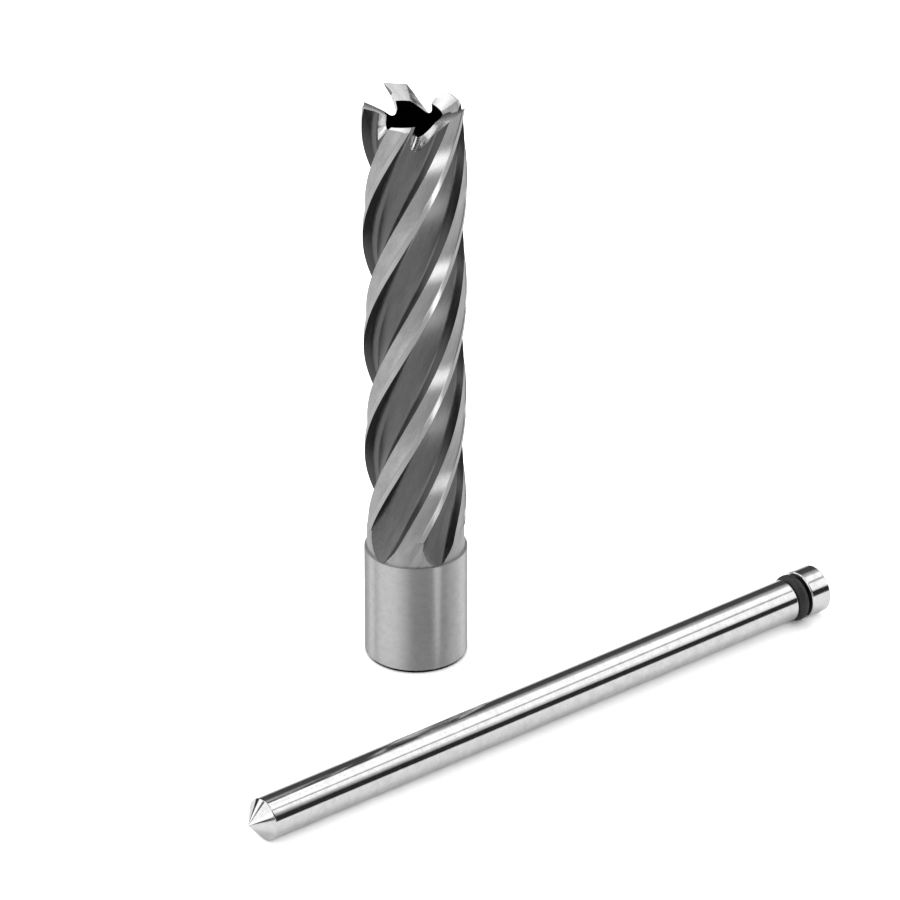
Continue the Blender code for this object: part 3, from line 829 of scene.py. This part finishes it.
def turned(name, profile, steps, place, closed=False):
    """Turn an outline of radii and heights about Z, put it in its place and keep its edges crisp."""
    mesh = bpy.data.meshes.new(name)
    verts, rings = [], []
    turns = [FULL_TURN * i / steps for i in range(steps)]
    for radius, height in profile:
        count = 1 if radius == 0 else steps
        rings.append([len(verts) + i % count for i in range(steps)])
        for turn in turns[:count]:
            verts.append(place @ Vector((radius * math.cos(turn), radius * math.sin(turn), height)))
    pairs = list(zip(rings, rings[1:])) + ([(rings[-1], rings[0])] if closed else [])
    faces = []
    for near, far in pairs:
        for i in range(steps):
            corners = [near[i], near[(i + 1) % steps], far[(i + 1) % steps], far[i]]
            faces.append(list(dict.fromkeys(corners)))
    mesh.from_pydata(verts, [], faces)
    mesh.shade_smooth()
    mesh.set_sharp_from_angle(angle=SHARP_ANGLE)
    made = bpy.data.objects.new(name, mesh)
    bpy.context.scene.collection.objects.link(made)
    print(name + ":", len(verts), "points,", len(faces), "faces")
    return made


def rounded(profile, radius, parts=4):
    """The same outline with each inner corner rounded off by a small arc."""
    made = [profile[0]]
    for before, corner, after in zip(profile, profile[1:], profile[2:]):
        before, corner, after = Vector(before), Vector(corner), Vector(after)
        reach = min(radius, (before - corner).length / SIDE_SHARE, (after - corner).length / SIDE_SHARE)
        start = corner + (before - corner).normalized() * reach
        end = corner + (after - corner).normalized() * reach
        for i in range(parts + 1):
            share = i / parts
            middle = corner * 2 * share * (1 - share)
            made.append(tuple(start * (1 - share) ** 2 + middle + end * share * share))
    return made + [profile[-1]]


# %% Make the pin
PIN_GRAIN = (0.25 * MM, 0.25 * MM, 0.25 * MM)
POLISHED = steel("polished_pin_steel", "EAEAEA", 0.1, 0.005, PIN_GRAIN, 0.00003 * MM, mottle=0.14)
PIN_PROFILE = [
    (0.0, 0.0), (POINT_FLAT, 0.0), (PIN_RADIUS, POINT_LENGTH), (PIN_RADIUS, POINT_LENGTH + STRAIGHT),
    (PIN_RADIUS, GROOVE_START - EDGE - STRAIGHT), (PIN_RADIUS, GROOVE_START - EDGE),
    (PIN_RADIUS - EDGE, GROOVE_START), (GROOVE_RADIUS, GROOVE_START), (GROOVE_RADIUS, HEAD_START),
    (HEAD_RADIUS - EDGE, HEAD_START), (HEAD_RADIUS, HEAD_START + EDGE),
    (HEAD_RADIUS, HEAD_START + EDGE + STRAIGHT),
    (HEAD_RADIUS, PIN_LENGTH - HEAD_CHAMFER - STRAIGHT), (HEAD_RADIUS, PIN_LENGTH - HEAD_CHAMFER),
    (HEAD_RADIUS - HEAD_CHAMFER, PIN_LENGTH), (0.0, PIN_LENGTH),
]
pin = turned("polished_pin", rounded(PIN_PROFILE, PIN_ROUND), PIN_STEPS, PIN_REST)
pin.data.materials.append(POLISHED)
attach(pin, BODY)
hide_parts("pilot_pin")

# %% [markdown]
# ## The rubber ring
# A moulded ring of nitrile rubber grips the pin's groove. Nitrile rubber is dull
# black, with a faint sheen and fine moulding dust on it.

# %% Make the ring
RING_STEPS = 32
RUBBER_IOR = 1.52
DUST = (0.4 * MM, 0.4 * MM, 0.4 * MM)


def nitrile():
    """Moulded rubber, whose dust varies its colour, gloss and height."""
    material = bpy.data.materials.new("moulded_nitrile_rubber")
    material.use_nodes = True
    tree = material.node_tree
    shader = tree.nodes["Principled BSDF"]
    shader.inputs["IOR"].default_value = RUBBER_IOR
    dust = streaks(tree, centred_coordinates(tree), DUST, 4.0)
    colours = {0: span(tree, dust, 0.0, 1.0), 6: linear("1C1C1C"), 7: linear("303030")}
    mix = add(tree, "ShaderNodeMix", colours, data_type="RGBA")
    tree.links.new(mix.outputs[2], shader.inputs["Base Color"])
    tree.links.new(span(tree, dust, 0.42, 0.6), shader.inputs["Roughness"])
    relief = add(tree, "ShaderNodeBump", {"Height": dust, "Strength": 1.0, "Distance": 0.01 * MM})
    tree.links.new(relief.outputs[0], shader.inputs["Normal"])
    return material


cord_profile = []
for i in range(RING_STEPS):
    turn = -FULL_TURN * i / RING_STEPS
    height = (GROOVE_START + HEAD_START) / 2 - CORD / 2 * math.sin(turn)
    cord_profile.append((RING_RADIUS + CORD / 2 * math.cos(turn), height))
ring = turned("rubber_o_ring", cord_profile, PIN_STEPS, PIN_REST, closed=True)
ring.data.materials.append(nitrile())
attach(ring, BODY)
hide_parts("rubber_ring")

# %% [markdown]
# ## Floor, light and surroundings
# Small steel tools are photographed on white paper inside a white tent, with dark
# cards to draw the edges. Here the floor is a disc of white paper. It is whiter to
# the camera than to the light, so it shows white and still takes the set's soft
# shadow. Mirrored it is plain paper too, but for one sector at the front right.
# There a mirrored ray goes on through the paper to a bright card that the world
# draws below, which gives the lands their white patches.

# %% Floor
FLOOR_RADIUS = 1.5
FLOOR_STEPS = 128
PAPER_ROUGHNESS = 0.9
PAPER_SHOWN = 2.3
MIRRORED_GLOW = 0.05
OPEN_DEGREES = 46
OPEN_WIDTH = (7, 14)
OPEN_START = (85 * MM, 105 * MM)


def bearing(tree, way):
    """Degrees from the front towards the right, from separated coordinates."""
    ahead = calc(tree, "MULTIPLY", way[1], -1.0)
    return calc(tree, "MULTIPLY", calc(tree, "ARCTAN2", way[0], ahead), 180 / math.pi)


def make_floor():
    """A disc of white paper, with a sector that mirrored rays pass through."""
    mesh = bpy.data.meshes.new("floor")
    turns = [FULL_TURN * i / FLOOR_STEPS for i in range(FLOOR_STEPS)]
    rim = [(FLOOR_RADIUS * math.cos(turn), FLOOR_RADIUS * math.sin(turn), 0.0) for turn in turns]
    mesh.from_pydata(rim, [], [tuple(range(FLOOR_STEPS))])
    material = bpy.data.materials.new("white_paper")
    material.use_nodes = True
    tree = material.node_tree
    shader = tree.nodes["Principled BSDF"]
    shader.inputs["Roughness"].default_value = PAPER_ROUGHNESS
    shader.inputs["Specular IOR Level"].default_value = 0.0
    seen = add(tree, "ShaderNodeLightPath").outputs
    shown = calc(tree, "MAXIMUM", seen["Is Camera Ray"], seen["Is Transmission Ray"])
    strength = calc(tree, "ADD", calc(tree, "MULTIPLY", shown, PAPER_SHOWN - 1.0), 1.0)
    paper = add(tree, "ShaderNodeVectorMath", {0: linear("ECECEC")[:3], "Scale": strength}, operation="SCALE")
    tree.links.new(paper.outputs[0], shader.inputs["Base Color"])
    glow = calc(tree, "MULTIPLY", seen["Is Glossy Ray"], MIRRORED_GLOW)
    shader.inputs["Emission Color"].default_value = (1.0, 1.0, 1.0, 1.0)
    tree.links.new(glow, shader.inputs["Emission Strength"])
    way = add(tree, "ShaderNodeSeparateXYZ", {0: centred_coordinates(tree)}).outputs
    off = calc(tree, "ABSOLUTE", calc(tree, "SUBTRACT", bearing(tree, way), OPEN_DEGREES))
    far = span(tree, off_axis(tree, way), 0.0, 1.0, *OPEN_START)
    sector = calc(tree, "MULTIPLY", span(tree, off, 1.0, 0.0, *OPEN_WIDTH), far)
    is_open = calc(tree, "MULTIPLY", seen["Is Glossy Ray"], sector)
    clear = add(tree, "ShaderNodeBsdfTransparent").outputs[0]
    mixed = add(tree, "ShaderNodeMixShader", {0: is_open, 1: shader.outputs[0], 2: clear})
    tree.links.new(mixed.outputs[0], tree.nodes["Material Output"].inputs["Surface"])
    mesh.materials.append(material)
    floor = bpy.data.objects.new("floor", mesh)
    bpy.context.scene.collection.objects.link(floor)


make_floor()
print("floor radius", FLOOR_RADIUS, "m")

# %% [markdown]
# Steel looks like what it mirrors, so the world is drawn with care, as graphs. ABOVE
# gives how bright each part of the room is, by height from the horizon at 0 to
# straight up at 1. ROUND gives where round the set that part is, in degrees from the
# front towards the right. PANELS are cards of one brightness that stand before the
# rest. To the camera the world is white, and matt surfaces get one even light.

# %% World
ABOVE = {
    "side": [
        (0.00, 0.7), (0.035, 0.7), (0.055, 0.02), (0.345, 0.02), (0.375, 1.15), (0.735, 1.15),
        (0.755, 0.3), (0.775, 0.3), (0.795, 1.25), (0.855, 1.25), (0.885, 0.45), (1.00, 0.45),
    ],
    "right": [
        (0.00, 1.3), (0.34, 1.3), (0.40, 1.15), (0.735, 1.15), (0.755, 0.3), (0.775, 0.3),
        (0.795, 1.25), (0.855, 1.25), (0.885, 0.45), (1.00, 0.45),
    ],
    "back": [
        (0.00, 0.25), (0.12, 0.25), (0.17, 0.05), (0.62, 0.07), (0.76, 0.5), (0.84, 1.25),
        (0.90, 1.25), (0.95, 0.45), (1.00, 0.45),
    ],
    "left": [(0.00, 1.6), (0.30, 1.6), (0.45, 1.1), (0.90, 1.2), (0.95, 0.45), (1.00, 0.45)],
    "card": [(0.00, 1.0), (0.80, 1.0), (0.92, 0.0), (1.00, 0.0)],
    "dip": [(0.00, 1.0), (0.80, 1.0), (0.92, 0.0), (1.00, 0.0)],
    "notch": [(0.00, 1.0), (0.14, 1.0), (0.22, 0.0), (1.00, 0.0)],
    "gap": [(0.00, 1.0), (0.60, 1.0), (0.70, 0.0), (1.00, 0.0)],
    "strip": [(0.00, 1.0), (0.42, 1.0), (0.55, 0.0), (1.00, 0.0)],
    "top": [(0.00, 0.0), (0.78, 0.0), (0.82, 1.0), (0.93, 1.0), (0.96, 0.0), (1.00, 0.0)],
}
ROUND = {
    "right": [(-180, 0), (84, 0), (112, 1), (124, 1), (134, 0), (180, 0)],
    "back": [(-180, 1), (-152, 1), (-138, 0), (150, 0), (160, 1), (180, 1)],
    "left": [(-180, 0), (-120, 0), (-114, 1), (-32, 1), (-8, 0), (180, 0)],
    "card": [(-180, 0), (-32, 0), (-8, 1), (62, 1), (68, 0), (180, 0)],
    "dip": [(-180, 0), (58, 0), (62, 1), (72, 1), (80, 0), (180, 0)],
    "notch": [(-180, 0), (-40, 0), (-36, 1), (-24, 1), (-20, 0), (180, 0)],
    "gap": [(-180, 0), (-101, 0), (-99, 1), (-91, 1), (-89, 0), (180, 0)],
    "strip": [(-180, 0), (41, 0), (43, 1), (49, 1), (51, 0), (180, 0)],
    "top": [(-180, 0), (-160, 0), (-150, 1), (-110, 1), (-100, 0), (180, 0)],
}
PANELS = [("card", 0.06), ("dip", 0.02), ("notch", 0.06), ("gap", 0.06), ("strip", 3.6), ("top", 1.6)]
BRIGHTEST = 4.0
EVEN_LIGHT = 0.75
HORIZON = (-0.02, -0.01)
MIRRORED_PAPER = 0.88
CARD_GLOW = 2.6
CARD_SLOPE = (-0.25, -0.12)


def graph(tree, value, points, low=0.0, high=1.0):
    """A colour ramp used as a graph: the points' height against their place from low to high."""
    place = span(tree, value, 0.0, 1.0, low, high)
    ramp = add(tree, "ShaderNodeValToRGB", {0: place})
    stops = ramp.color_ramp.elements
    while len(stops) < len(points):
        stops.new(0.5)
    for stop, (at, height) in zip(stops, points):
        stop.position = (at - low) / (high - low)
        stop.color = (*[height / BRIGHTEST] * 3, 1.0)
    return calc(tree, "MULTIPLY", ramp.outputs[0], BRIGHTEST)


def blend(tree, share, first, second):
    """The first number where the share is 0, the second where it is 1."""
    return add(tree, "ShaderNodeMix", {0: share, 2: first, 3: second}).outputs[0]


def make_world():
    """The room that the steel mirrors, and the light that falls on everything else."""
    world = bpy.data.worlds.new("studio")
    bpy.context.scene.world = world
    world.use_nodes = True
    tree = world.node_tree
    tree.nodes.clear()
    outward = add(tree, "ShaderNodeTexCoord").outputs["Generated"]
    way = add(tree, "ShaderNodeSeparateXYZ", {0: outward}).outputs
    degrees = bearing(tree, way)
    around = {name: graph(tree, degrees, points, -180, 180) for name, points in ROUND.items()}
    above = {name: graph(tree, way[2], points) for name, points in ABOVE.items()}
    room = above["side"]
    for name in ("right", "back", "left"):
        room = blend(tree, around[name], room, above[name])
    for name, level in PANELS:
        room = blend(tree, calc(tree, "MULTIPLY", around[name], above[name]), room, level)
    card = calc(tree, "ADD", span(tree, way[2], CARD_GLOW, 0.0, *CARD_SLOPE), MIRRORED_PAPER)
    room = blend(tree, span(tree, way[2], 1.0, 0.0, *HORIZON), room, card)
    mirrored = add(tree, "ShaderNodeBackground", {0: linear("FFFFFF"), 1: room})
    even = add(tree, "ShaderNodeBackground", {0: linear("FFFFFF"), 1: EVEN_LIGHT})
    white = add(tree, "ShaderNodeBackground", {0: linear("FFFFFF"), 1: 1.0})
    seen = add(tree, "ShaderNodeLightPath").outputs
    soft = {0: seen["Is Glossy Ray"], 1: even.outputs[0], 2: mirrored.outputs[0]}
    lit = add(tree, "ShaderNodeMixShader", soft).outputs[0]
    shown = calc(tree, "MAXIMUM", seen["Is Camera Ray"], seen["Is Transmission Ray"])
    whole = add(tree, "ShaderNodeMixShader", {0: shown, 1: lit, 2: white.outputs[0]})
    add(tree, "ShaderNodeOutputWorld", {0: whole.outputs[0]})


make_world()
bpy.context.scene.view_settings.view_transform = "Standard"

# %% [markdown]
# One large soft lamp stands behind the set, high up. It gives the short soft shadow
# towards the front. Steel would mirror it as a hard square, so it is hidden there.

# %% Lights
LAMPS = [("key_panel", (-0.12, 0.4, 0.75), 0.6, 2.4)]
LAMP_AIM = Vector((-0.02, 0.0, 0.05))


def make_lamps():
    """Hang the lamps and turn each towards the foot of the cutter."""
    for name, place, size, power in LAMPS:
        light = bpy.data.lights.new(name, "AREA")
        light.shape = "RECTANGLE"
        light.size = size
        light.size_y = size
        light.energy = power
        lamp = bpy.data.objects.new(name, light)
        bpy.context.scene.collection.objects.link(lamp)
        lamp.location = place
        lamp.rotation_euler = (LAMP_AIM - lamp.location).to_track_quat("-Z", "Y").to_euler()
        lamp.visible_glossy = False
        print(name, power, "W")


make_lamps()
